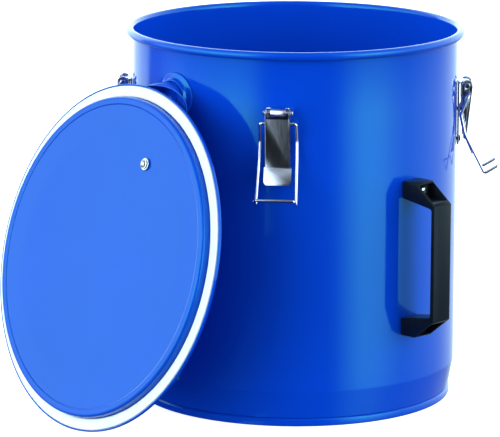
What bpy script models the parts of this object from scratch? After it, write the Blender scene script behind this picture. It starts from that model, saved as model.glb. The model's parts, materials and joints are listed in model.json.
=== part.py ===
"""Steel oil can: a drum with a rolled rim on a foot ring, two screwed-on pull handles, a
pouring spout and four wire-bail latches. Its lid is lifted off and leans on the spout.

Dimensions are in millimetres and become metres as meshes are made. +Z is up, the ground is
z = 0 and the origin is under the middle of the whole. A piece on the wall is drawn at
azimuth 0 as (along the wall, outward, up) and turned to its azimuth by a holder.
"""
import math

import bmesh
import bpy
from mathutils import Matrix, Vector

MM = 0.001
CAN_BACK = 63.5

# Drum
WALL_OUT = 178.0
WALL_IN = 176.2
TAPER_TOP = 40.0
SHELL_BOTTOM = 9.5
SHELL_FOOT_OUT = 172.8
RIM_CENTRE = (180.8, 403.4)
RIM_RADIUS = 4.6
FOOT_IN = 166.5
FOOT_OUT = 173.9
FOOT_HIGH = 9.1
ROUND_STEPS = 48

# Spout
SPOUT_AZIMUTH = 0.0
SPOUT_UP = 352.0
SPOUT_BORE = 13.0
SPOUT_NECK = 15.2
SPOUT_STEPS = 36

# Handles
HANDLES = {"handle_left": -90.0, "handle_right": 90.0}
HANDLE_UP = 177.9
HANDLE_WIDE = 26.5
HANDLE_OUT = 225.2
HANDLE_HALF = 84.6
HANDLE_BACK = 178.4
POCKET_FLOOR = 194.5
SCREW_SPAN = 74.3
SCREW_RADIUS = 2.4

# Latches
LATCHES = {"latch_1": 40.0, "latch_2": 136.0, "latch_3": -134.0, "latch_4": -47.0}
PIN = (188.7, 344.5)
PIN_RADIUS = 2.2
KNUCKLE = 4.4
EAR = 6.2
PIVOT = (190.0, 333.4)
WIRE = 1.6
PLATE_HALF = 12.0
LEVER_HALF = 13.2
LEVER_SHEET = 1.2
RIVETS = {"upper": 317.0, "lower": 283.5}
RIVET_RADIUS = 1.8

# Lid
LID_AZIMUTH = -6.0
LID_LEAN = 15.4
LID_CENTRE = (254.8, 181.56)
LID_CLOSED = (0.0, 411.0)
LID_SHEET = 1.3
PLUG_OUT = 172.6
PLUG_DEEP = 11.6
SKIRT_OUT = 187.3
KNOB = (45.0, 107.0)


def upright(across, deep, axial):
    """A turned piece stands on its axis."""
    return (across, deep, axial)


def outward(across, deep, axial):
    """A turned piece's axis runs out from the wall."""
    return (across, -axial, deep)


def along(across, deep, axial):
    """A turned piece's axis runs along the wall."""
    return (axial, -across, deep)


def solid(points, faces):
    """A welded mesh that faces outward, from points in millimetres."""
    mesh = bpy.data.meshes.new("solid")
    mesh.from_pydata([Vector(point) * MM for point in points], [], faces)
    work = bmesh.new()
    work.from_mesh(mesh)
    bmesh.ops.remove_doubles(work, verts=work.verts, dist=1e-6)
    bmesh.ops.recalc_face_normals(work, faces=work.faces)
    work.to_mesh(mesh)
    work.free()
    return mesh


def skin(rings, looped=False):
    """A solid over rings of equal size, capped at its two ends unless it is looped."""
    size = len(rings[0])
    count = len(rings)
    faces = []
    for index in range(count if looped else count - 1):
        here = index * size
        there = (index + 1) % count * size
        for corner in range(size):
            after = (corner + 1) % size
            faces.append((here + corner, here + after, there + after, there + corner))
    if not looped:
        faces.append(tuple(range(size)))
        faces.append(tuple(range(size * count - size, size * count)))
    return solid([point for ring in rings for point in ring], faces)


def turned(profile, steps, place=upright):
    """A closed profile of (radius, axial) turned all the way round."""
    rings = []
    for step in range(steps):
        turn = math.tau * step / steps
        cos, sin = math.cos(turn), math.sin(turn)
        rings.append([place(r * cos, r * sin, axial) for r, axial in profile])
    return skin(rings, looped=True)


def rod(radius, low, high, steps, place):
    """A plain cylinder."""
    return turned([(0, low), (radius, low), (radius, high), (0, high)], steps, place)


def slab(outline, low, high):
    """A side outline of (outward, up) made thick along the wall."""
    return skin([[(x, -out, up) for out, up in outline] for x in (low, high)])


def panel(outline, low, high):
    """A front outline of (along, up) made thick outward."""
    return skin([[(x, -out, up) for x, up in outline] for out in (low, high)])


def rectangle(low_a, high_a, low_b, high_b):
    """The corners of a rectangle."""
    return [(low_a, low_b), (high_a, low_b), (high_a, high_b), (low_a, high_b)]


def arc(centre, radius, first, last, steps):
    """Points on an arc, angles in degrees from the first axis."""
    points = []
    for step in range(steps + 1):
        turn = math.radians(first + (last - first) * step / steps)
        points.append((centre[0] + radius * math.cos(turn), centre[1] + radius * math.sin(turn)))
    return points


def gather(*meshes):
    """Separate meshes as one."""
    work = bmesh.new()
    for mesh in meshes:
        work.from_mesh(mesh)
    whole = bpy.data.meshes.new("gathered")
    work.to_mesh(whole)
    work.free()
    return whole


def shifted(mesh, x, y, z):
    """The mesh moved by millimetres."""
    mesh.transform(Matrix.Translation(Vector((x, y, z)) * MM))
    return mesh


def cut(mesh, *tools):
    """The mesh less each tool in turn."""
    for tool in tools:
        body = bpy.data.objects.new("body", mesh)
        knife = bpy.data.objects.new("knife", tool)
        bpy.context.collection.objects.link(body)
        bpy.context.collection.objects.link(knife)
        boolean = body.modifiers.new("cut", "BOOLEAN")
        boolean.operation = "DIFFERENCE"
        boolean.solver = "EXACT"
        boolean.object = knife
        graph = bpy.context.evaluated_depsgraph_get()
        mesh = bpy.data.meshes.new_from_object(body.evaluated_get(graph))
        bpy.data.objects.remove(body)
        bpy.data.objects.remove(knife)
    return mesh


def bent(corners, reach, steps):
    """A path through the corners, each inner one eased over a short reach."""
    corners = [Vector(corner) for corner in corners]
    path = [corners[0]]
    for before, corner, after in zip(corners, corners[1:], corners[2:]):
        start = corner + (before - corner).normalized() * reach
        end = corner + (after - corner).normalized() * reach
        for step in range(steps + 1):
            part = step / steps
            path.append(start.lerp(corner, part).lerp(corner.lerp(end, part), part))
    path.append(corners[-1])
    return path


def wire(path, radius, steps):
    """A round wire along a path."""
    rings = []
    side = Vector((0, 1, 0))
    for before, here, after in zip(path[:1] + path, path, path[1:] + path[-1:]):
        ahead = ((here - before).normalized() + (after - here).normalized()).normalized()
        side = (side - ahead * side.dot(ahead)).normalized()
        other = ahead.cross(side)
        ring = []
        for step in range(steps):
            turn = math.tau * (step + 0.5) / steps
            ring.append(here + (side * math.cos(turn) + other * math.sin(turn)) * radius)
        rings.append(ring)
    return skin(rings)


def material(name, colour, rough, metal):
    """A plain surface."""
    surface = bpy.data.materials.new(name)
    surface.use_nodes = True
    shader = surface.node_tree.nodes["Principled BSDF"]
    shader.inputs["Base Color"].default_value = (*colour, 1)
    shader.inputs["Roughness"].default_value = rough
    shader.inputs["Metallic"].default_value = metal
    surface.diffuse_color = (*colour, 1)
    return surface


def holder(name, location, turn=0.0, parent=None):
    """An empty that carries pieces, turned about the vertical."""
    empty = bpy.data.objects.new(name, None)
    empty.empty_display_size = 0.03
    empty.location = Vector(location) * MM
    empty.rotation_euler.z = math.radians(turn)
    empty.parent = parent
    bpy.context.collection.objects.link(empty)
    return empty


def piece(name, mesh, surface, parent, location=(0, 0, 0), smooth=True):
    """A named object on its holder."""
    if not mesh.materials:
        mesh.name = name
        mesh.materials.append(surface)
    if smooth:
        mesh.shade_smooth()
        mesh.set_sharp_from_angle(angle=math.radians(32))
    body = bpy.data.objects.new(name, mesh)
    body.location = Vector(location) * MM
    body.parent = parent
    bpy.context.collection.objects.link(body)
    return body


def turned_about_can(mesh, azimuth):
    """A wall piece's mesh turned round the can's axis."""
    mesh.transform(Matrix.Rotation(math.radians(azimuth), 4, "Z"))
    return mesh


def drum_holes():
    """One cutter for the spout, the handle screws and the latch rivets."""
    holes = [shifted(rod(SPOUT_NECK + 0.3, 160, 200, SPOUT_STEPS, outward), 0, 0, SPOUT_UP)]
    for azimuth in HANDLES.values():
        for side in (-1, 1):
            hole = rod(SCREW_RADIUS + 0.4, 165, 190, 16, outward)
            shifted(hole, 0, 0, HANDLE_UP + side * SCREW_SPAN)
            holes.append(turned_about_can(hole, azimuth))
    for azimuth in LATCHES.values():
        for up in RIVETS.values():
            hole = shifted(rod(RIVET_RADIUS + 0.4, 165, 190, 12, outward), 0, 0, up)
            holes.append(turned_about_can(hole, azimuth))
    return gather(*holes)


def drum_shell():
    """The wall, drawn in at its foot and curled outward at its rim."""
    rim = arc(RIM_CENTRE, RIM_RADIUS, -127.5, 180, 12)
    outside = [(SHELL_FOOT_OUT, SHELL_BOTTOM), (WALL_OUT, TAPER_TOP)]
    inside = [(WALL_IN, TAPER_TOP + 0.3), (SHELL_FOOT_OUT - 1.8, SHELL_BOTTOM)]
    return cut(turned(outside + rim + inside, ROUND_STEPS), drum_holes())


def bottom_pan():
    """The floor, with a short turned-up edge inside the wall."""
    under = [(0, 9.4), (169.2, 9.4), (170.6, 10.6), (171.5, 16.0)]
    top = [(170.1, 16.3), (169.1, 12.4), (167.9, 11.2), (0, 11.2)]
    return turned(under + top, ROUND_STEPS)


def foot_ring():
    """The plain ring the can stands on."""
    outside = [(FOOT_IN, 0), (172.4, 0), (FOOT_OUT, 1.5), (FOOT_OUT, FOOT_HIGH - 1.5)]
    return turned(outside + [(172.4, FOOT_HIGH), (FOOT_IN, FOOT_HIGH)], ROUND_STEPS)


def oval(out, up, half_wide, half_high, tilt=0.0):
    """A ring of the spout, its top tipped back by the tilt."""
    back = math.tan(math.radians(tilt))
    ring = []
    for step in range(SPOUT_STEPS):
        turn = math.tau * step / SPOUT_STEPS
        rise = half_high * math.sin(turn)
        ring.append((half_wide * math.cos(turn), rise * back - out, up + rise))
    return ring


def spout():
    """A round neck that opens into a wide oval mouth."""
    return skin(
        [
            oval(174.0, SPOUT_UP, SPOUT_NECK, SPOUT_NECK),
            oval(188.0, SPOUT_UP, SPOUT_NECK, SPOUT_NECK),
            oval(191.0, 352.6, 15.7, 15.4, 2),
            oval(195.5, 351.0, 21.0, 16.6, 6),
            oval(199.7, 347.6, 33.0, 19.0, 11),
            oval(203.9, 343.5, 44.0, 21.2, 15),
            oval(204.2, 343.5, 43.4, 20.6, 15),
            oval(203.7, 343.5, 42.4, 19.8, 15),
            oval(199.5, 347.8, 31.2, 17.2, 11),
            oval(195.5, 351.2, 19.0, 14.6, 6),
            oval(191.0, 352.4, 13.6, 13.3, 2),
            oval(188.0, SPOUT_UP, SPOUT_BORE, SPOUT_BORE),
            oval(174.0, SPOUT_UP, SPOUT_BORE, SPOUT_BORE),
        ],
        looped=True,
    )


def spout_collar():
    """A ring bedded on the round wall about the spout's neck."""
    rings = []
    for radius, lift in ((15.6, 0.3), (24.5, 0.3), (24.3, 1.6), (17.6, 7.4), (15.6, 7.6)):
        ring = []
        for step in range(SPOUT_STEPS):
            turn = math.tau * step / SPOUT_STEPS
            across = radius * math.cos(turn)
            on_wall = math.sqrt(WALL_OUT**2 - across**2)
            ring.append((across, -on_wall - lift, SPOUT_UP + radius * math.sin(turn)))
        rings.append(ring)
    return skin(rings, looped=True)


def grip():
    """A moulded bow handle with a pocket through each sloped end for its screw."""
    half = HANDLE_WIDE / 2
    upper = [
        (HANDLE_OUT, 63.1),
        (197.5, HANDLE_HALF),
        (HANDLE_BACK, HANDLE_HALF),
        (HANDLE_BACK, 65.5),
        (HANDLE_OUT - 5.0, 59.3),
    ]
    lower = [(out, -up) for out, up in reversed(upper)]
    bow = slab([(out, HANDLE_UP + up) for out, up in upper + lower], -half, half)
    pockets = []
    holes = []
    for side in (-1, 1):
        low, high = sorted((66.2 * side, 82.4 * side))
        outline = rectangle(-11.2, 11.2, HANDLE_UP + low, HANDLE_UP + high)
        pockets.append(panel(outline, POCKET_FLOOR, 240))
        hole = rod(SCREW_RADIUS + 0.4, 170, 200, 16, outward)
        holes.append(shifted(hole, 0, 0, HANDLE_UP + side * SCREW_SPAN))
    return cut(bow, gather(*pockets), gather(*holes))


def handle_screw():
    """A pan-head screw from the handle's pocket through the wall."""
    seat = POCKET_FLOOR + 0.3
    head = [(SCREW_RADIUS, seat), (4.6, seat), (4.6, seat + 1.6), (3.2, seat + 2.8)]
    return turned(
        [(0, 170.4), (SCREW_RADIUS, 170.4)] + head + [(0, seat + 3.1)], 16, outward
    )


def handle_nut():
    """A hexagon nut inside the wall."""
    rings = []
    for radius, out in ((None, 172.3), (None, 175.8), (2.8, 175.8), (2.8, 172.3)):
        ring = []
        for step in range(12):
            turn = math.tau * step / 12
            reach = radius or (4.0 if step % 2 else 4.0 / math.cos(math.pi / 6))
            ring.append((reach * math.cos(turn), -out, reach * math.sin(turn)))
        rings.append(ring)
    return skin(rings, looped=True)


def latch_plate():
    """A plate on the wall, its top turned out into a knuckle for the pin."""
    out, up = PIN
    outline = [(178.5, 277.8), (180.3, 277.8), (180.3, 346.1), (181.3, 347.1)]
    outline += [(out - 3.6, 347.1)]
    outline += arc(PIN, KNUCKLE, 150, 450, 15)
    outline += [(180.5, up + KNUCKLE), (178.5, up + KNUCKLE - 2)]
    plate = slab(outline, -PLATE_HALF, PLATE_HALF)
    sides = [
        slab(rectangle(182.6, 200, 336, 352), -16, -8),
        slab(rectangle(182.6, 200, 336, 352), 8, 16),
    ]
    pin_hole = shifted(rod(PIN_RADIUS + 0.4, -20, 20, 16, along), 0, -out, up)
    rivet_holes = []
    for height in RIVETS.values():
        hole = rod(RIVET_RADIUS + 0.4, 170, 190, 12, outward)
        rivet_holes.append(shifted(hole, 0, 0, height))
    return cut(plate, gather(*sides), gather(pin_hole, *rivet_holes))


def latch_pin():
    """A headed pin through the knuckle and the lever's ears."""
    end = [(0, 16), (2.4, 16), (3.0, 15.4), (3.0, 13.6), (PIN_RADIUS, 13.6)]
    return turned([(r, -a) for r, a in end] + end[::-1], 12, along)


def latch_lever():
    """A channel that swings on the pin, with a wider tip kicked outward."""
    top = arc(PIN, EAR, 180, -8, 10)
    front = [(188.6, 285.6), (196.0, 268.4)]
    back = [(194.8, 267.9), (187.3, 285.0), (185.0, 286.0), (182.5, 330.0)]
    lever = slab(top + front + back, -14.65, 14.65)
    sides = [
        slab(rectangle(180, 200, 285.6, 356), -20, -LEVER_HALF),
        slab(rectangle(180, 200, 285.6, 356), LEVER_HALF, 20),
    ]
    inner = LEVER_HALF - LEVER_SHEET
    channel = [(178, 280), (187.0, 286.2), (193.15, 338.5), (200, 338.5), (200, 356)]
    hollow = slab(channel + [(178, 356)], -inner, inner)
    corners = []
    for side in (-1, 1):
        round_end = [(side * x, up) for x, up in arc((10.0, 272.6), 4.7, -90, 0, 4)]
        corners.append(panel(round_end + [(side * 15.5, 272.6), (side * 15.5, 266.0)]
                             + [(side * 10.0, 266.0)], 185, 205))
    pin_hole = shifted(rod(PIN_RADIUS + 0.35, -20, 20, 16, along), 0, -PIN[0], PIN[1])
    pivot_hole = shifted(rod(WIRE + 0.35, -20, 20, 12, along), 0, -PIVOT[0], PIVOT[1])
    lever = cut(lever, gather(*sides), hollow, gather(*corners, pin_hole, pivot_hole))
    return shifted(lever, 0, PIN[0], -PIN[1])


def latch_bail():
    """A wire loop whose turned-in ends pivot in the lever's sides."""
    half = [
        (11.2, 190.0, 333.4),
        (19.2, 190.0, 333.4),
        (19.6, 181.8, 313.6),
        (20.1, 186.4, 291.8),
        (21.2, 208.6, 248.2),
        (21.2, 223.6, 257.2),
    ]
    corners = [(x, -out, up) for x, out, up in half]
    corners += [(-x, y, z) for x, y, z in reversed(corners)]
    return shifted(wire(bent(corners, 3.2, 3), WIRE, 8), 0, PIVOT[0], -PIVOT[1])


def latch_rivet():
    """A round-head rivet, closed inside the wall."""
    inside = [(0, 174.6), (3.2, 174.6), (3.2, 175.8), (RIVET_RADIUS, 175.8)]
    head = [(RIVET_RADIUS, 180.6), (4.0, 180.6), (3.4, 181.9), (1.8, 182.7), (0, 182.9)]
    return turned(inside + head, 12, outward)


def lid_pan():
    """The lid: a plug, a flange over the rim and a short skirt; its underside faces up."""
    knee = arc((PLUG_OUT - 3.2, PLUG_DEEP - 3.2), 3.2, 90, 0, 3)
    flange = [(PLUG_OUT, -0.9), (185.9, -0.9), (185.9, 2.0), (SKIRT_OUT, 2.0)]
    top = [(SKIRT_OUT, -1.4), (186.5, -2.2), (174.2, -2.2), (171.3, 0.7), (171.3, 8.4)]
    floor = [(169.4, PLUG_DEEP - LID_SHEET), (0, PLUG_DEEP - LID_SHEET)]
    pan = turned([(0, PLUG_DEEP)] + knee + flange + top + floor, ROUND_STEPS)
    return cut(pan, shifted(rod(3.2, 5, 20, 12, upright), *KNOB, 0))


def lid_gasket():
    """A soft ring under the flange."""
    inner = [(173.0, 1.7), (173.0, -0.6)]
    return turned(inner + [(185.6, -0.6), (185.6, 1.6), (184.6, 2.7), (174, 2.7)], ROUND_STEPS)


def lid_knob():
    """A turned knob on the lid's upper side, bored for its screw."""
    foot = [(3.2, 10.0), (9.5, 10.0), (9.0, 6.0), (8.5, 2.0), (13.2, -2.4), (15.0, -6.0)]
    crown = [(15.0, -10.5), (12.4, -13.2), (6.5, -14.3), (0, -14.6), (0, -6.0), (3.2, -6.0)]
    return turned(foot + crown, 24)


def lid_screw():
    """A domed screw through the lid into the knob."""
    dome = [(2.8, 13.4), (5.0, 13.4), (4.6, 15.0), (3.2, 16.2), (1.5, 16.8), (0, 16.9)]
    return turned([(0, -5.0), (2.8, -5.0)] + dome, 16)


def build():
    """Lay out every piece."""
    for thing in list(bpy.data.objects):
        bpy.data.objects.remove(thing)
    blue = material("blue_enamel", (0.005, 0.06, 0.62), 0.18, 0.0)
    steel = material("latch_steel", (0.66, 0.66, 0.65), 0.22, 1.0)
    zinc = material("zinc_plate", (0.58, 0.58, 0.56), 0.35, 1.0)
    black = material("black_plastic", (0.02, 0.02, 0.022), 0.4, 0.0)
    white = material("white_silicone", (0.82, 0.83, 0.82), 0.5, 0.0)

    can = holder("can", (0, CAN_BACK, 0))
    piece("can_shell", drum_shell(), blue, can)
    piece("bottom_pan", bottom_pan(), blue, can)
    piece("base_ring", foot_ring(), blue, can)
    spout_place = holder("spout_place", (0, 0, 0), SPOUT_AZIMUTH, can)
    piece("spout", spout(), blue, spout_place)
    piece("spout_collar", spout_collar(), blue, spout_place)

    grip_mesh, screw_mesh, nut_mesh = grip(), handle_screw(), handle_nut()
    for name, azimuth in HANDLES.items():
        place = holder(name + "_place", (0, 0, 0), azimuth, can)
        piece(name, grip_mesh, black, place, smooth=False)
        for level, side in (("upper", 1), ("lower", -1)):
            at = (0, 0, HANDLE_UP + side * SCREW_SPAN)
            piece(f"{name}_screw_{level}", screw_mesh, zinc, place, at)
            piece(f"{name}_nut_{level}", nut_mesh, zinc, place, at, smooth=False)

    plate_mesh, pin_mesh, rivet_mesh = latch_plate(), latch_pin(), latch_rivet()
    lever_mesh, bail_mesh = latch_lever(), latch_bail()
    on_pin = (0, -PIN[0], PIN[1])
    on_lever = (0, PIN[0] - PIVOT[0], PIVOT[1] - PIN[1])
    for name, azimuth in LATCHES.items():
        place = holder(name + "_place", (0, 0, 0), azimuth, can)
        piece(name + "_plate", plate_mesh, steel, place)
        piece(name + "_pin", pin_mesh, steel, place, on_pin)
        lever = piece(name + "_lever", lever_mesh, steel, place, on_pin)
        piece(name + "_bail", bail_mesh, steel, lever, on_lever)
        for level, up in RIVETS.items():
            piece(f"{name}_rivet_{level}", rivet_mesh, steel, place, (0, 0, up))

    swing = math.radians(270 - LID_LEAN)
    mid = [(a + b) / 2 for a, b in zip(LID_CENTRE, LID_CLOSED)]
    lean_to_closed = (LID_CLOSED[0] - LID_CENTRE[0], LID_CLOSED[1] - LID_CENTRE[1])
    arm = 0.5 / math.tan(swing / 2)
    pole = (mid[0] - arm * lean_to_closed[1], mid[1] + arm * lean_to_closed[0])
    lid_place = holder("lid_place", (0, 0, 0), LID_AZIMUTH, can)
    lid_swing = holder("lid_swing", (0, -pole[0], pole[1]), 0, lid_place)
    lid = holder("lid", (0, pole[0] - LID_CENTRE[0], LID_CENTRE[1] - pole[1]), 0, lid_swing)
    lid.rotation_euler.x = math.radians(90 - LID_LEAN)
    piece("lid_pan", lid_pan(), blue, lid)
    piece("lid_gasket", lid_gasket(), white, lid)
    piece("lid_knob", lid_knob(), black, lid, (*KNOB, 0))
    piece("lid_knob_screw", lid_screw(), zinc, lid, (*KNOB, 0))
    washer = turned(rectangle(3.2, 6.6, 11.9, 13.1), 20)
    piece("lid_knob_washer", washer, zinc, lid, (*KNOB, 0), smooth=False)


build()
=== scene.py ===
"""The looks of a blue enamelled oil can: finer meshes, materials, floor, light and camera.

Dimensions are in millimetres and become metres as meshes are made. A piece on the wall is
drawn at azimuth 0, as (along the wall, outward, up), and stands on a frame turned to its
azimuth round the can's axis.
"""
import json
import math

import bmesh
import bpy
from mathutils import Matrix, Vector

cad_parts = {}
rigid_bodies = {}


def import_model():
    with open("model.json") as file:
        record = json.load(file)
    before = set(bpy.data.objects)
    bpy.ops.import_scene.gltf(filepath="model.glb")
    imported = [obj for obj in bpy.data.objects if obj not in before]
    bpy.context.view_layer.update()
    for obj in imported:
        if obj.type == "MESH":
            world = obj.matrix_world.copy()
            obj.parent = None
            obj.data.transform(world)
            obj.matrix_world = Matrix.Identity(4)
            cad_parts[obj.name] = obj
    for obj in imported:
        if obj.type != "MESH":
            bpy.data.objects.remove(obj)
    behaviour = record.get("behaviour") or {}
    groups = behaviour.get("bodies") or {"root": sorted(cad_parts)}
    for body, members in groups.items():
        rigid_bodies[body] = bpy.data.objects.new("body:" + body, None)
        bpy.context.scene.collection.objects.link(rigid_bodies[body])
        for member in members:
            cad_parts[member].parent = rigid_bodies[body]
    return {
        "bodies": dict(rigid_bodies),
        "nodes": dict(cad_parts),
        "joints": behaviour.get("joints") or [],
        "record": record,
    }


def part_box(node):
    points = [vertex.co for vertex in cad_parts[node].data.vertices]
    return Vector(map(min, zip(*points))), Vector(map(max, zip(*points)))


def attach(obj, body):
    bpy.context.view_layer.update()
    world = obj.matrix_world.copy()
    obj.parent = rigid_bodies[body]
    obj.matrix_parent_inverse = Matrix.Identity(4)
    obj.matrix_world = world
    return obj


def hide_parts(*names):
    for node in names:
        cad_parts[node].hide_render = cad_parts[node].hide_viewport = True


MM = 0.001

# Drum
WALL_OUT = 178.0
WALL_IN = 176.2
TAPER_TOP = 40.0
FOOT_OUT = 173.9
FOOT_IN = 166.5
FOOT_HIGH = 9.1
RIM_CENTRE = (180.8, 403.4)
RIM_RADIUS = 4.5
PAN_TOP = 11.2
PAN_UNDER = 9.4
ROUND_STEPS = 192
PAN_STEPS = 128

# Spout
SPOUT_UP = 352.0
SPOUT_HOLE = 15.5
SPOUT_STEPS = 72

# Handles
HANDLES = {"handle_left": -90.0, "handle_right": 90.0}
HANDLE_UP = 177.9
HANDLE_HALF_WIDE = 13.25
POCKET_FLOOR = 194.5
POCKET_HALF_WIDE = 11.2
POCKET_SPAN = (66.2, 82.4)
SCREW_SPAN = 74.3
SCREW_HOLE = 2.8
SCREW_SHANK = 2.4
SHANK_END = 170.4

# Latches
LATCHES = ("latch_1", "latch_2", "latch_3", "latch_4")
PIN = (188.7, 344.5)
PIN_HALF_LONG = 16.0
PIVOT = (190.0, 333.4)
WIRE = 1.6
KNUCKLE = 4.4
KNUCKLE_HALF = 8.0
EAR = 6.2
PLATE_BACK = 178.5
PLATE_FACE = 180.3
PLATE_FOOT = 277.8
PLATE_HALF = 12.0
LEVER_HALF = 13.2
LEVER_SHEET = 1.2
TIP_HALF = 14.65
RIVETS = {"upper": 317.0, "lower": 283.5}
RIVET_HOLE = 2.2

# Lid
LID_AZIMUTH = -6.0
LID_LEAN = 15.4
LID_CENTRE = (254.8, 181.56)
KNOB = (45.0, 107.0)
KNOB_HOLE = 3.2

# Camera
CAMERA_AZIMUTH = 46.0
CAMERA_TILT = 11.85
CAMERA_ROLL = 0.28
CAMERA_AWAY = 4268.2
CAMERA_LENS = 277.7
AIM_ASIDE = -48.66
AIM_UP = 191.77

# Studio floor, and a black card just behind the lid that is seen in reflections only, as
# painted shade in the wall's reflections
FLOOR_HALF = 6000.0
CARD_SPAN = (-60.0, 240.0)
CARD_UP = 1.0
CARD_START = 150.0
CARD_FOLD = 284.0
CARD_TOP = (233.0, 185.0)

# Studio light as (bearing from the camera in degrees, level)
AROUND = [
    (-180, 1.7), (-131, 1.8), (-125, 0.4), (-114, 0.6), (-105, 1.25), (-60, 2.7),
    (-44, 3.3), (-34, 2.8), (-22, 0.5), (-14, 0.02), (22, 0.02), (30, 0.5),
    (42, 2.6), (50, 3.6), (62, 3.2), (74, 1.9), (84, 1.2), (124, 1.2), (140, 1.4),
    (180, 1.6),
]

# The sides' share and the light overhead as (height, level), 0 straight down and 1 straight up
LIFT = [(0, 0.05), (0.34, 0.4), (0.4, 1.0), (0.5, 1.6), (0.6, 1.9), (0.8, 0.8), (1, 0.1)]
OVER = [(0, 0.0), (0.6, 0.02), (0.7, 0.3), (0.76, 0.6), (0.82, 0.5), (0.88, 0.2), (1, 0.1)]
SKY = (0.76, 0.96, 1.0, 1)
BACKDROP = 4.0


def upright(across, deep, axial):
    """A turned piece stands on its axis."""
    return (across, deep, axial)


def outward(across, deep, axial):
    """A turned piece's axis runs out from the wall."""
    return (across, -axial, deep)


def along(across, deep, axial):
    """A turned piece's axis runs along the wall."""
    return (axial, -across, deep)


def solid(points, faces):
    """A welded mesh that faces outward, from points in millimetres."""
    mesh = bpy.data.meshes.new("solid")
    mesh.from_pydata([Vector(point) * MM for point in points], [], faces)
    work = bmesh.new()
    work.from_mesh(mesh)
    bmesh.ops.remove_doubles(work, verts=work.verts, dist=1e-7)
    bmesh.ops.recalc_face_normals(work, faces=work.faces)
    work.to_mesh(mesh)
    work.free()
    return mesh


def skin(rings, looped=False):
    """A solid over rings of equal size, capped at its two ends unless it is looped."""
    size = len(rings[0])
    count = len(rings)
    faces = []
    for index in range(count if looped else count - 1):
        here = index * size
        there = (index + 1) % count * size
        for corner in range(size):
            after = (corner + 1) % size
            faces.append((here + corner, here + after, there + after, there + corner))
    if not looped:
        faces.append(tuple(range(size)))
        faces.append(tuple(range(size * count - size, size * count)))
    return solid([point for ring in rings for point in ring], faces)


def turned(profile, steps, place=upright):
    """A closed profile of (radius, axial) turned all the way round."""
    rings = []
    for step in range(steps):
        turn = math.tau * step / steps
        cos, sin = math.cos(turn), math.sin(turn)
        rings.append([place(r * cos, r * sin, axial) for r, axial in profile])
    return skin(rings, looped=True)


def slab(outline, low, high):
    """A side outline of (outward, up) made thick along the wall."""
    return skin([[(x, -out, up) for out, up in outline] for x in (low, high)])


def panel(outline, low, high):
    """A front outline of (along, up) made thick outward."""
    return skin([[(x, -out, up) for x, up in outline] for out in (low, high)])


def rectangle(low_a, high_a, low_b, high_b):
    """The corners of a rectangle."""
    return [(low_a, low_b), (high_a, low_b), (high_a, high_b), (low_a, high_b)]


def arc(centre, radius, first, last, steps):
    """Points on an arc, angles in degrees from the first axis."""
    points = []
    for step in range(steps + 1):
        turn = math.radians(first + (last - first) * step / steps)
        across, up = radius * math.cos(turn), radius * math.sin(turn)
        points.append((centre[0] + across, centre[1] + up))
    return points


def eased(outline, radii, steps=5, closed=True):
    """An outline, or an open path, with a round of the given radius at each corner."""
    corners = [Vector(corner) for corner in outline]
    count = len(corners)
    path = []
    for index, (corner, radius) in enumerate(zip(corners, radii)):
        if radius == 0 or not closed and index in (0, count - 1):
            path.append(corner)
            continue
        back = (corners[index - 1] - corner).normalized()
        on = (corners[(index + 1) % count] - corner).normalized()
        half = back.angle(on) / 2
        reach = radius / math.tan(half)
        centre = corner + (back + on).normalized() * radius / math.sin(half)
        start = corner + back * reach - centre
        end = corner + on * reach - centre
        sweep = start.angle(end)
        for step in range(steps + 1):
            part = step / steps
            spoke = start * math.sin(sweep * (1 - part)) + end * math.sin(sweep * part)
            path.append(centre + spoke / math.sin(sweep))
    return path


def gather(*meshes):
    """Separate meshes as one."""
    work = bmesh.new()
    for mesh in meshes:
        work.from_mesh(mesh)
    whole = bpy.data.meshes.new("gathered")
    work.to_mesh(whole)
    work.free()
    return whole


def shifted(mesh, x, y, z):
    """The mesh moved by millimetres."""
    mesh.transform(Matrix.Translation(Vector((x, y, z)) * MM))
    return mesh


def baked(mesh, kind, **settings):
    """The mesh after one modifier."""
    body = bpy.data.objects.new("body", mesh)
    bpy.context.collection.objects.link(body)
    modifier = body.modifiers.new(kind, kind)
    for name, value in settings.items():
        setattr(modifier, name, value)
    graph = bpy.context.evaluated_depsgraph_get()
    done = bpy.data.meshes.new_from_object(body.evaluated_get(graph))
    bpy.data.objects.remove(body)
    return done


def cut(mesh, *tools):
    """The mesh less each tool in turn."""
    for tool in tools:
        knife = bpy.data.objects.new("knife", tool)
        bpy.context.collection.objects.link(knife)
        mesh = baked(mesh, "BOOLEAN", operation="DIFFERENCE", solver="EXACT", object=knife)
        bpy.data.objects.remove(knife)
    return mesh


def softened(mesh, width, segments=3, angle=32):
    """The mesh with its sharp edges rounded."""
    return baked(
        mesh,
        "BEVEL",
        width=width * MM,
        segments=segments,
        limit_method="ANGLE",
        angle_limit=math.radians(angle),
        miter_outer="MITER_ARC",
        harden_normals=True,
    )


def wire(path, radius, steps):
    """A round wire along a path, its ends capped flat."""
    rings = []
    side = Vector((0, 1, 0))
    for before, here, after in zip(path[:1] + path, path, path[1:] + path[-1:]):
        ahead = ((here - before).normalized() + (after - here).normalized()).normalized()
        side = (side - ahead * side.dot(ahead)).normalized()
        other = ahead.cross(side)
        ring = []
        for step in range(steps):
            turn = math.tau * step / steps
            ring.append(here + (side * math.cos(turn) + other * math.sin(turn)) * radius)
        rings.append(ring)
    return skin(rings)


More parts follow.
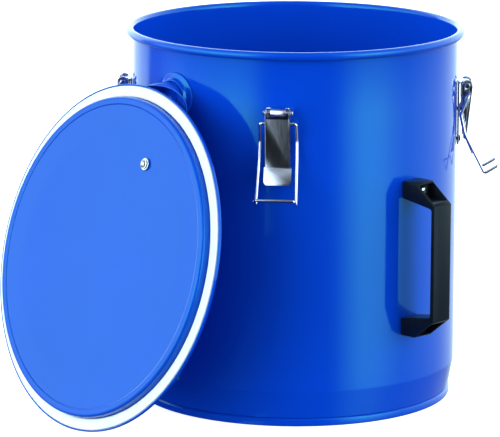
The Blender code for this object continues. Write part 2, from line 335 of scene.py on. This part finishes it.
class Paint:
    """A Principled material built up by short steps."""

    def __init__(self, name, colour, rough, metal=0.0, **sockets):
        self.surface = bpy.data.materials.new(name)
        self.surface.use_nodes = True
        self.surface.diffuse_color = (*colour, 1)
        self.nodes = self.surface.node_tree.nodes
        self.links = self.surface.node_tree.links
        self.shader = self.nodes["Principled BSDF"]
        self.shader.inputs["Base Color"].default_value = (*colour, 1)
        self.shader.inputs["Roughness"].default_value = rough
        self.shader.inputs["Metallic"].default_value = metal
        for socket, value in sockets.items():
            self.shader.inputs[socket.replace("_", " ")].default_value = value
        self.colour = colour
        self.rough = rough
        self.place = self.nodes.new("ShaderNodeTexCoord").outputs["Object"]

    def noise(self, scale, detail=3.0, stretch=(1, 1, 1)):
        """A noise value at a scale in cells a metre, stretched along the axes."""
        mapping = self.nodes.new("ShaderNodeMapping")
        mapping.inputs["Scale"].default_value = stretch
        noise = self.nodes.new("ShaderNodeTexNoise")
        noise.inputs["Scale"].default_value = scale
        noise.inputs["Detail"].default_value = detail
        self.links.new(self.place, mapping.inputs["Vector"])
        self.links.new(mapping.outputs["Vector"], noise.inputs["Vector"])
        return noise.outputs["Fac"]

    def spread(self, value, low, high):
        """A value of about 0.3 to 0.7 spread over a range."""
        span = self.nodes.new("ShaderNodeMapRange")
        span.inputs["From Min"].default_value = 0.3
        span.inputs["From Max"].default_value = 0.7
        span.inputs["To Min"].default_value = low
        span.inputs["To Max"].default_value = high
        self.links.new(value, span.inputs["Value"])
        return span.outputs["Result"]

    def tone(self, value, change):
        """Colour lightened and darkened by a value."""
        mix = self.nodes.new("ShaderNodeMix")
        mix.data_type = "RGBA"
        mix.inputs["A"].default_value = (*[c * (1 - change) for c in self.colour], 1)
        mix.inputs["B"].default_value = (*[min(1, c * (1 + change)) for c in self.colour], 1)
        self.links.new(self.spread(value, 0, 1), mix.inputs["Factor"])
        self.links.new(mix.outputs["Result"], self.shader.inputs["Base Color"])

    def gloss(self, value, change):
        """Roughness varied by a value."""
        level = self.spread(value, self.rough - change, self.rough + change)
        self.links.new(level, self.shader.inputs["Roughness"])

    def relief(self, *heights):
        """Bumps, each a value and its height in millimetres."""
        normal = None
        for value, height in heights:
            bump = self.nodes.new("ShaderNodeBump")
            bump.inputs["Strength"].default_value = 1.0
            bump.inputs["Distance"].default_value = height * MM
            self.links.new(value, bump.inputs["Height"])
            if normal:
                self.links.new(normal, bump.inputs["Normal"])
            normal = bump.outputs["Normal"]
        self.links.new(normal, self.shader.inputs["Normal"])


def paints():
    """The object's materials by slot."""
    tint = (0.17, 1.0, 0.4, 1)
    enamel = Paint("blue_enamel", (0.0013, 0.048, 0.53), 0.085, Specular_Tint=tint)
    enamel.tone(enamel.noise(9, 2), 0.03)
    enamel.gloss(enamel.noise(60, 4), 0.02)
    enamel.relief((enamel.noise(320, 2), 0.012), (enamel.noise(28, 1), 0.03))
    steel = Paint("latch_steel", (0.66, 0.66, 0.80), 0.17, 1.0)
    steel.tone(steel.noise(120, 3), 0.05)
    steel.gloss(steel.noise(700, 3, (1, 1, 0.06)), 0.04)
    steel.relief((steel.noise(1600, 2, (1, 1, 0.03)), 0.003))
    zinc = Paint("zinc_plate", (0.66, 0.66, 0.65), 0.24, 1.0)
    zinc.tone(zinc.noise(500, 3), 0.1)
    zinc.gloss(zinc.noise(900, 3), 0.07)
    shine = {"Specular_IOR_Level": 0.14, "Specular_Tint": (0.6, 0.8, 1.0, 1)}
    black = Paint("black_plastic", (0.005, 0.007, 0.012), 0.33, **shine)
    black.tone(black.noise(150, 3), 0.15)
    black.gloss(black.noise(500, 3), 0.05)
    black.relief((black.noise(2200, 2), 0.02), (black.noise(90, 2), 0.03))
    white = Paint("white_silicone", (0.92, 0.86, 0.85), 0.42, Subsurface_Weight=0.15)
    white.tone(white.noise(60, 3), 0.02)
    white.gloss(white.noise(400, 3), 0.05)
    white.relief((white.noise(900, 2), 0.01))
    return {
        "blue_enamel": enamel.surface,
        "latch_steel": steel.surface,
        "zinc_plate": zinc.surface,
        "black_plastic": black.surface,
        "white_silicone": white.surface,
    }


def can_at(azimuth):
    """The frame of the can's own axis, turned to an azimuth."""
    low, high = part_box("can_shell")
    axis = Matrix.Translation(((low.x + high.x) / 2, (low.y + high.y) / 2, 0))
    return axis @ Matrix.Rotation(math.radians(azimuth), 4, "Z")


class Set:
    """Puts finished pieces in the scene in place of the frame's nodes."""

    def __init__(self):
        self.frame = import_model()
        self.paints = paints()
        self.can = can_at(0)

    def at(self, azimuth):
        """The frame of wall pieces at an azimuth."""
        return can_at(azimuth)

    def lid(self):
        """The frame of the leaning lid: its underside faces along +Z."""
        out, up = LID_CENTRE
        centre = Matrix.Translation(Vector((0, -out, up)) * MM)
        lean = Matrix.Rotation(math.radians(90 - LID_LEAN), 4, "X")
        return self.at(LID_AZIMUTH) @ centre @ lean

    def latch(self, name):
        """The frame of a latch, turned as its lever's hinge is."""
        for joint in self.frame["joints"]:
            if joint["child"] == name + "_lever":
                x, y, _ = joint["axis"]
                return self.at(math.degrees(math.atan2(-y, -x)))
        raise ValueError(name)

    def put(self, node, mesh, slot, place, body="can", sharp=32):
        """One finished piece in place of one node, its place taken into its mesh."""
        mesh = mesh.copy()
        mesh.name = node
        mesh.transform(place)
        mesh.materials.append(self.paints[slot])
        mesh.shade_smooth()
        mesh.set_sharp_from_angle(angle=math.radians(sharp))
        piece = bpy.data.objects.new("look_" + node, mesh)
        bpy.context.collection.objects.link(piece)
        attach(piece, body)
        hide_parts(node)
        return piece


def drum_shell():
    """The wall, softly drawn in at its foot, with a rolled rim over a fine crease."""
    outside = [(172.7, 9.5), (174.6, 20.0)]
    outside += arc((174.6 - 9.0, TAPER_TOP), 12.4, -9.5, 0, 6)
    outside += [(WALL_OUT, 60.0), (WALL_OUT, 200.0), (WALL_OUT, 340.0), (WALL_OUT, 398.6)]
    outside += [(178.2, 399.6), (178.5, 400.0)]
    rim = arc(RIM_CENTRE, RIM_RADIUS, -120, 175, 26)
    inside = [(WALL_IN, 400.0), (WALL_IN, 200.0), (WALL_IN, TAPER_TOP), (171.0, 9.5)]
    return turned(outside + rim + inside, ROUND_STEPS)


def drum_holes(scene):
    """One cutter for the spout, the handle screws and the latch rivets."""
    holes = [shifted(turned(rod(SPOUT_HOLE, 160, 200), 48, outward), 0, 0, SPOUT_UP)]
    for azimuth in HANDLES.values():
        for side in (-1, 1):
            hole = turned(rod(SCREW_HOLE, 165, 190), 24, outward)
            shifted(hole, 0, 0, HANDLE_UP + side * SCREW_SPAN)
            hole.transform(Matrix.Rotation(math.radians(azimuth), 4, "Z"))
            holes.append(hole)
    for name in LATCHES:
        turn = scene.can.inverted() @ scene.latch(name)
        for up in RIVETS.values():
            hole = shifted(turned(rod(RIVET_HOLE, 165, 190), 16, outward), 0, 0, up)
            hole.transform(turn)
            holes.append(hole)
    return gather(*holes)


def rod(radius, low, high):
    """The profile of a plain cylinder."""
    return [(0, low), (radius, low), (radius, high), (0, high)]


def foot_ring():
    """The ring the can stands on, its edges rounded."""
    outline = [(FOOT_IN, 0), (FOOT_OUT, 0), (FOOT_OUT, FOOT_HIGH), (FOOT_IN, FOOT_HIGH)]
    return turned(eased(outline, (0.6, 2.2, 2.4, 0.6)), ROUND_STEPS)


def bottom_pan():
    """The floor with its pressed corner."""
    under = [(0, PAN_UNDER), (169.2, PAN_UNDER), (170.6, 10.6), (171.5, 16.0)]
    top = [(170.1, 16.3), (169.6, 14.0), (168.9, 12.2), (167.6, 11.3)]
    return turned(under + top + [(166.0, PAN_TOP), (0, PAN_TOP)], PAN_STEPS)


def oval(out, up, half_wide, half_high, tilt):
    """A ring of the spout, its top tipped back by the tilt."""
    back = math.tan(math.radians(tilt))
    ring = []
    for step in range(SPOUT_STEPS):
        turn = math.tau * step / SPOUT_STEPS
        rise = half_high * math.sin(turn)
        ring.append((half_wide * math.cos(turn), rise * back - out, up + rise))
    return ring


def flowing(rows, steps):
    """Rows of numbers joined by a smooth curve through them."""
    rows = [rows[0]] + rows + [rows[-1]]
    path = []
    for a, b, c, d in zip(rows, rows[1:], rows[2:], rows[3:]):
        for step in range(steps):
            t = step / steps
            row = []
            for p, q, r, s in zip(a, b, c, d):
                bend = (2 * p - 5 * q + 4 * r - s) * t * t + (3 * q - p - 3 * r + s) * t**3
                row.append(q + 0.5 * ((r - p) * t + bend))
            path.append(row)
    path.append(rows[-1])
    return path


def spout():
    """A round neck that flows into a wide oval mouth with a rolled lip."""
    outer = [
        (174.0, SPOUT_UP, 15.2, 15.2, 0),
        (187.5, SPOUT_UP, 15.2, 15.2, 0),
        (191.0, 352.5, 15.8, 15.4, 2),
        (195.5, 351.0, 21.0, 16.6, 6),
        (199.7, 347.6, 33.0, 19.0, 11),
        (203.4, 343.8, 43.6, 21.0, 15),
    ]
    lip = [
        (203.8, 343.5, 44.0, 21.3, 15),
        (204.15, 343.5, 43.9, 21.2, 15),
        (204.25, 343.5, 43.4, 20.7, 15),
        (204.0, 343.5, 42.7, 20.0, 15),
    ]
    inner = [
        (203.2, 343.8, 41.8, 19.5, 15),
        (199.3, 347.8, 31.2, 17.2, 11),
        (195.3, 351.2, 19.2, 14.7, 6),
        (191.0, 352.3, 13.8, 13.4, 2),
        (187.5, SPOUT_UP, 13.0, 13.0, 0),
        (174.0, SPOUT_UP, 13.0, 13.0, 0),
    ]
    rows = flowing(outer, 4) + lip + flowing(inner, 4)
    return skin([oval(*row) for row in rows], looped=True)


def spout_collar():
    """A flanged ring bedded on the round wall about the spout's neck."""
    outline = [(15.6, 0.3), (24.5, 0.3), (24.4, 1.9), (18.6, 3.2), (17.7, 7.5), (15.6, 7.5)]
    outline = eased(outline, (0, 0.4, 0.9, 1.6, 0.8, 0.5))
    rings = []
    for radius, lift in outline:
        ring = []
        for step in range(SPOUT_STEPS):
            turn = math.tau * step / SPOUT_STEPS
            across = radius * math.cos(turn)
            on_wall = math.sqrt(WALL_OUT**2 - across**2)
            ring.append((across, -on_wall - lift, SPOUT_UP + radius * math.sin(turn)))
        rings.append(ring)
    return skin(rings, looped=True)


def grip():
    """A moulded bow handle: rounded bar, sloped ends and a walled pocket for each screw."""
    half = HANDLE_HALF_WIDE
    upper = [(225.2, 63.1), (197.5, 84.6), (178.4, 84.6), (178.4, 65.5), (220.2, 59.3)]
    lower = [(out, -up) for out, up in reversed(upper)]
    outline = eased(upper + lower, (1.5, 2.0, 0, 0, 3.0, 3.0, 0, 0, 2.0, 1.5), 4)
    bow = slab([(out, HANDLE_UP + up) for out, up in outline], -half, half)
    bow = softened(bow, 1.1, 3)
    pockets = []
    holes = []
    for side in (-1, 1):
        low, high = sorted(HANDLE_UP + side * up for up in POCKET_SPAN)
        corners = rectangle(-POCKET_HALF_WIDE, POCKET_HALF_WIDE, low, high)
        pockets.append(panel(eased(corners, (1.5,) * 4, 4), POCKET_FLOOR, 240))
        hole = turned(rod(SCREW_HOLE, 170, 200), 24, outward)
        holes.append(shifted(hole, 0, 0, HANDLE_UP + side * SCREW_SPAN))
    return softened(cut(bow, gather(*pockets), gather(*holes)), 0.35, 2, 40)


def cross_recess(out, size, deep):
    """A cutter for a cross-shaped driver slot that faces outward."""
    bars = []
    for turn in (0, 90):
        bar = panel(rectangle(-size, size, -size * 0.24, size * 0.24), out - deep, out + 4)
        bar.transform(Matrix.Rotation(math.radians(turn + 20), 4, "Y"))
        bars.append(bar)
    return bars


def handle_screw():
    """A pan-head screw with a cross recess and a threaded shank."""
    seat = POCKET_FLOOR + 0.3
    shank = [(0, SHANK_END), (1.8, SHANK_END)]
    for step in range(8):
        shank += [(SCREW_SHANK, 171.2 + step * 0.8), (2.05, 171.6 + step * 0.8)]
    head = [(SCREW_SHANK, 178.0), (SCREW_SHANK, seat)]
    head += [(4.4, seat), (4.6, seat + 0.3), (4.6, seat + 1.3)]
    head += [(4.3, seat + 2.0), (3.6, seat + 2.6), (2.4, seat + 3.0), (0, seat + 3.1)]
    return cut(turned(shank + head, 40, outward), *cross_recess(seat + 3.1, 2.5, 1.5))


def handle_nut():
    """A hexagon nut with chamfered corners."""
    rings = []
    for shrink, out in ((0.4, 172.3), (0, 172.8), (0, 175.3), (0.4, 175.8)):
        rings.append([])
        for step in range(48):
            turn = math.tau * step / 48
            off = (turn + math.pi / 6) % (math.pi / 3) - math.pi / 6
            reach = min(4.0 / math.cos(off), 4.55 - shrink)
            rings[-1].append((reach * math.cos(turn), -out, reach * math.sin(turn)))
    for out in (175.8, 172.3):
        circle = [math.tau * step / 48 for step in range(48)]
        rings.append([(2.7 * math.cos(a), -out, 2.7 * math.sin(a)) for a in circle])
    return skin(rings, looped=True)


def latch_plate():
    """A plate on the wall, its top turned out and rolled into a knuckle for the pin."""
    up = PIN[1]
    outline = [(PLATE_BACK, PLATE_FOOT), (PLATE_FACE, PLATE_FOOT), (PLATE_FACE, 345.6)]
    outline += [(180.6, 346.5), (181.5, 347.1), (PIN[0] - 3.6, 347.1)]
    outline += arc(PIN, KNUCKLE, 150, 448, 40)
    outline += [(180.4, up + 4.35), (179.2, up + 3.7), (PLATE_BACK, up + 2.4)]
    plate = slab(outline, -PLATE_HALF, PLATE_HALF)
    corners = []
    for side in (-1, 1):
        foot = [(side * x, z) for x, z in arc((8.0, 281.8), 4.0, -90, 0, 6)]
        foot += [(side * 12.6, 281.8), (side * 12.6, 277.0), (side * 8.0, 277.0)]
        corners.append(panel(foot, 170, 190))
        low, high = sorted((side * KNUCKLE_HALF, side * 16))
        corners.append(slab(rectangle(182.6, 200, 336, 352), low, high))
    pin_hole = shifted(turned(rod(2.6, -20, 20), 32, along), 0, -PIN[0], up)
    rivet_holes = []
    for height in RIVETS.values():
        hole = turned(rod(RIVET_HOLE, 170, 190), 20, outward)
        rivet_holes.append(shifted(hole, 0, 0, height))
    plate = cut(plate, gather(*corners), gather(pin_hole, *rivet_holes))
    return softened(plate, 0.25, 2, 40)


def latch_pin():
    """A pin with two headed ends."""
    end = [(0, PIN_HALF_LONG), (1.6, PIN_HALF_LONG), (2.5, 15.8), (3.0, 15.3), (3.0, 13.9)]
    end += [(2.8, 13.6), (2.2, 13.6)]
    return turned([(r, -a) for r, a in end] + end[::-1], 32, along)


def latch_lever():
    """A folded channel that swings on the pin, with a wider tip kicked outward."""
    top = [(PIN[0] - EAR, PIN[1])] + arc(PIN, EAR, 175, -6, 24)
    front = [(188.6, 285.6), (196.0, 268.4)]
    back = [(194.8, 267.9), (187.3, 285.0), (185.0, 286.0), (182.5, 330.0)]
    outline = eased(top + front + back, [0] * 26 + [4.0, 0, 0, 2.7, 0.8, 6.0], 6)
    lever = slab(outline, -TIP_HALF, TIP_HALF)
    sides = []
    for side in (-1, 1):
        low, high = sorted((side * LEVER_HALF, side * 20))
        sides.append(slab(rectangle(180, 200, 286.2, 356), low, high))
    corners = []
    for side in (-1, 1):
        tip = [(side * x, up) for x, up in arc((TIP_HALF - 5.0, 272.9), 5.0, -90, 0, 8)]
        tip += [(side * 15.5, 272.9), (side * 15.5, 266.0), (side * (TIP_HALF - 5.0), 266.0)]
        corners.append(panel(tip, 185, 205))
    inner = LEVER_HALF - LEVER_SHEET
    channel = [(178, 280), (187.0, 286.2), (193.15, 338.5), (200, 338.5), (200, 356)]
    hollow = softened(slab(channel + [(178, 356)], -inner, inner), 0.8, 3)
    pin_hole = shifted(turned(rod(2.55, -20, 20), 32, along), 0, -PIN[0], PIN[1])
    pivot_hole = shifted(turned(rod(1.95, -20, 20), 24, along), 0, -PIVOT[0], PIVOT[1])
    lever = softened(cut(lever, gather(*sides), gather(*corners)), 0.5, 3, 40)
    return softened(cut(lever, hollow, gather(pin_hole, pivot_hole)), 0.28, 2, 40)


def latch_bail():
    """A wire loop whose turned-in ends pivot in the lever's sides."""
    half = [
        (11.2, *PIVOT),
        (19.2, *PIVOT),
        (19.6, 181.8, 313.6),
        (20.1, 186.4, 291.8),
        (21.2, 208.6, 248.2),
        (21.2, 223.6, 257.2),
    ]
    radii = [0, 2.6, 9.0, 30.0, 2.6, 2.6]
    corners = [(x, -out, up) for x, out, up in half]
    corners += [(-x, y, z) for x, y, z in reversed(corners)]
    path = eased(corners, radii + radii[::-1], 7, closed=False)
    return wire(path, WIRE, 16)


def latch_rivet():
    """A round-head rivet, closed inside the wall."""
    inside = [(0, 174.6), (2.8, 174.6), (3.2, 175.0), (3.2, 175.8), (1.8, 175.8)]
    head = [(1.8, 180.6), (3.9, 180.6), (4.0, 180.9), (3.6, 181.8), (2.8, 182.4)]
    return turned(inside + head + [(1.6, 182.8), (0, 182.9)], 32, outward)


def lid_pan():
    """The pressed lid: a dished plug with a raised edge, a flange and a curled skirt."""
    outline = [
        (163.5, 11.1),
        (165.2, 11.6),
        (172.6, 11.6),
        (172.6, -0.9),
        (185.9, -0.9),
        (185.9, 2.0),
        (187.3, 2.0),
        (187.3, -2.2),
        (174.2, -2.2),
        (171.3, 0.4),
        (171.3, 10.3),
        (165.6, 10.3),
        (163.8, 9.8),
    ]
    radii = (1.0, 1.0, 3.2, 0.5, 0.3, 0.5, 0.5, 1.6, 1.8, 1.8, 1.8, 1.0, 1.0)
    middle = [(0, 9.8), (0, 11.1), (80, 11.1)]
    pan = turned(middle + eased(outline, radii, 6) + [(80, 9.8)], ROUND_STEPS)
    return cut(pan, shifted(turned(rod(KNOB_HOLE, 5, 20), 32), *KNOB, 0))


def lid_gasket():
    """A soft ring under the flange with two low sealing ribs."""
    lips = [(185.6, -0.6), (185.6, 1.2), (184.9, 2.4), (183.9, 2.7), (183.0, 2.4)]
    middle = [(182.3, 2.0), (176.6, 2.0), (175.9, 2.4), (174.9, 2.7), (173.9, 2.4)]
    return turned([(173.0, -0.6)] + lips + middle + [(173.0, 1.2)], ROUND_STEPS)


def lid_knob():
    """A turned knob on the lid's upper side, bored for its screw."""
    outline = [(KNOB_HOLE, 9.5), (9.5, 9.5), (8.4, 1.0), (15.0, -4.5), (15.0, -12.0)]
    outline += [(9.0, -14.6), (0, -14.6), (0, -6.0), (KNOB_HOLE, -6.0)]
    return turned(eased(outline, (0, 0.8, 5.0, 2.5, 3.5, 8.0, 0, 0, 0), 6), 64)


def lid_screw():
    """A domed screw through the lid into the knob."""
    dome = [(2.8, 13.4), (4.6, 13.4), (5.0, 13.7), (5.0, 14.2)]
    dome += arc((0, 12.6), 4.4, 24, 90, 10)
    return turned([(0, -5.0), (2.8, -5.0)] + dome, 48)


def lid_washer():
    """A plain washer between the lid and its screw's head."""
    return turned(eased(rectangle(KNOB_HOLE, 6.6, 11.4, 12.9), (0.2, 0.4, 0.4, 0.2), 3), 48)


def dress(scene):
    """Every finished piece in its place."""
    shell = cut(drum_shell(), drum_holes(scene))
    scene.put("can_shell", shell, "blue_enamel", scene.can)
    scene.put("bottom_pan", bottom_pan(), "blue_enamel", scene.can)
    scene.put("base_ring", foot_ring(), "blue_enamel", scene.can)
    scene.put("spout", spout(), "blue_enamel", scene.can)
    scene.put("spout_collar", spout_collar(), "blue_enamel", scene.can)

    grip_mesh, screw_mesh, nut_mesh = grip(), handle_screw(), handle_nut()
    for name, azimuth in HANDLES.items():
        place = scene.at(azimuth)
        scene.put(name, grip_mesh, "black_plastic", place)
        for level, side in (("upper", 1), ("lower", -1)):
            up = (HANDLE_UP + side * SCREW_SPAN) * MM
            spot = place @ Matrix.Translation((0, 0, up))
            scene.put(f"{name}_screw_{level}", screw_mesh, "zinc_plate", spot)
            scene.put(f"{name}_nut_{level}", nut_mesh, "zinc_plate", spot)

    plate_mesh, pin_mesh, rivet_mesh = latch_plate(), latch_pin(), latch_rivet()
    lever_mesh, bail_mesh = latch_lever(), latch_bail()
    for name in LATCHES:
        place = scene.latch(name)
        pin_place = place @ Matrix.Translation(Vector((0, -PIN[0], PIN[1])) * MM)
        scene.put(name + "_plate", plate_mesh, "latch_steel", place)
        scene.put(name + "_pin", pin_mesh, "latch_steel", pin_place)
        scene.put(name + "_lever", lever_mesh, "latch_steel", place, name + "_lever")
        scene.put(name + "_bail", bail_mesh, "latch_steel", place, name + "_bail")
        for level, up in RIVETS.items():
            spot = place @ Matrix.Translation((0, 0, up * MM))
            scene.put(f"{name}_rivet_{level}", rivet_mesh, "latch_steel", spot)

    lid = scene.lid()
    on_knob = lid @ Matrix.Translation(Vector((*KNOB, 0)) * MM)
    scene.put("lid_pan", lid_pan(), "blue_enamel", lid, "lid")
    scene.put("lid_gasket", lid_gasket(), "white_silicone", lid, "lid")
    scene.put("lid_knob", lid_knob(), "black_plastic", on_knob, "lid")
    scene.put("lid_knob_screw", lid_screw(), "zinc_plate", on_knob, "lid")
    scene.put("lid_knob_washer", lid_washer(), "zinc_plate", on_knob, "lid")


def prop(name, corners, faces, paint):
    """An object of the studio that sends no bounced light to the can."""
    mesh = bpy.data.meshes.new(name)
    mesh.from_pydata([Vector(corner) * MM for corner in corners], [], faces)
    mesh.materials.append(paint.surface)
    body = bpy.data.objects.new(name, mesh)
    body.visible_diffuse = False
    bpy.context.collection.objects.link(body)
    return body


def ground():
    """A pale floor that leaves no reflection."""
    pale = Paint("floor", (0.9, 0.9, 0.9), 0.8, Emission_Strength=0.8)
    pale.shader.inputs["Emission Color"].default_value = (1, 1, 1, 1)
    half = FLOOR_HALF
    corners = [(x, y, 0) for x, y in rectangle(-half, half, -half, half)]
    floor = prop("floor", corners, [(0, 1, 2, 3)], pale)
    floor.visible_glossy = False


def reflected_shade_card():
    """A black card on the floor, folded up behind the lid, that only darkens reflections:
    painted shade, standing for the shaded floor behind the lid as the wall reflects it.
    """
    (left, right), (out, up) = CARD_SPAN, CARD_TOP
    corners = [(left, -CARD_START, CARD_UP), (right, -CARD_START, CARD_UP)]
    corners += [(right, -CARD_FOLD, CARD_UP), (left, -CARD_FOLD, CARD_UP)]
    corners += [(right, -out, up), (left, -out, up)]
    # Painted shade: a black sheet, seen only in reflections, put where the floor behind the
    # lid lies in shade.
    black = Paint("reflected_shade_flag", (0.0, 0.0, 0.0), 1.0, Specular_IOR_Level=0.0)
    reflected_shade_flag = prop("reflected_shade_flag", corners, [(0, 1, 2, 3), (3, 2, 4, 5)], black)
    reflected_shade_flag.matrix_world = can_at(LID_AZIMUTH)
    reflected_shade_flag.visible_camera = False
    reflected_shade_flag.visible_shadow = False


def studio():
    """Soft light all round, dark on the camera's side, and a white backdrop."""
    world = bpy.data.worlds.new("studio")
    world.use_nodes = True
    bpy.context.scene.world = world
    nodes, links = world.node_tree.nodes, world.node_tree.links

    def math_node(operation, *values):
        """A math node fed by sockets and numbers."""
        node = nodes.new("ShaderNodeMath")
        node.operation = operation
        for socket, value in zip(node.inputs, values):
            if isinstance(value, (int, float)):
                socket.default_value = value
            else:
                links.new(value, socket)
        return node.outputs["Value"]

    def ramp(value, stops):
        """A curve through (position, level) stops."""
        node = nodes.new("ShaderNodeFloatCurve")
        points = node.mapping.curves[0].points
        top = max(level for _, level in stops)
        points[0].location = (stops[0][0], stops[0][1] / top)
        points[1].location = (stops[-1][0], stops[-1][1] / top)
        for position, level in stops[1:-1]:
            points.new(position, level / top)
        for point in points:
            point.handle_type = "VECTOR"
        node.mapping.update()
        links.new(value, node.inputs["Value"])
        return math_node("MULTIPLY", node.outputs["Value"], top)

    place = nodes.new("ShaderNodeTexCoord").outputs["Generated"]
    turn = nodes.new("ShaderNodeVectorRotate")
    turn.rotation_type = "Z_AXIS"
    turn.inputs["Angle"].default_value = -math.radians(CAMERA_AZIMUTH)
    links.new(place, turn.inputs["Vector"])
    split = nodes.new("ShaderNodeSeparateXYZ")
    links.new(turn.outputs["Vector"], split.inputs["Vector"])
    x, y, z = split.outputs
    bearing = math_node("ARCTAN2", x, math_node("MULTIPLY", y, -1.0))
    bearing = math_node("ADD", math_node("DIVIDE", bearing, math.tau), 0.5)
    height = math_node("ADD", math_node("MULTIPLY", z, 0.5), 0.5)
    sides = ramp(bearing, [(angle / 360 + 0.5, level) for angle, level in AROUND])
    sides = math_node("MULTIPLY", sides, ramp(height, LIFT))
    level = math_node("ADD", sides, ramp(height, OVER))
    seen = nodes.new("ShaderNodeLightPath").outputs["Is Camera Ray"]
    level = math_node("ADD", level, math_node("MULTIPLY", seen, BACKDROP))
    links.new(level, nodes["Background"].inputs["Strength"])
    nodes["Background"].inputs["Color"].default_value = SKY


def camera():
    """The photograph's view: a long lens, a little above the rim's level."""
    aim = can_at(CAMERA_AZIMUTH) @ Matrix.Translation(Vector((AIM_ASIDE, 0, AIM_UP)) * MM)
    tilt = Matrix.Rotation(math.radians(90 - CAMERA_TILT), 4, "X")
    roll = Matrix.Rotation(math.radians(CAMERA_ROLL), 4, "Z")
    back = Matrix.Translation((0, 0, CAMERA_AWAY * MM))
    data = bpy.data.cameras.new("camera")
    data.lens = CAMERA_LENS
    data.sensor_width = 36.0
    data.clip_end = 50.0
    view = bpy.data.objects.new("camera", data)
    view.matrix_world = aim @ tilt @ back @ roll
    bpy.context.collection.objects.link(view)
    bpy.context.scene.camera = view


def size(box):
    """A box as plain lists."""
    return [list(corner) for corner in box]


scene = Set()
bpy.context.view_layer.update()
dress(scene)
ground()
reflected_shade_card()
studio()
camera()
bpy.context.scene.view_settings.view_transform = "Standard"
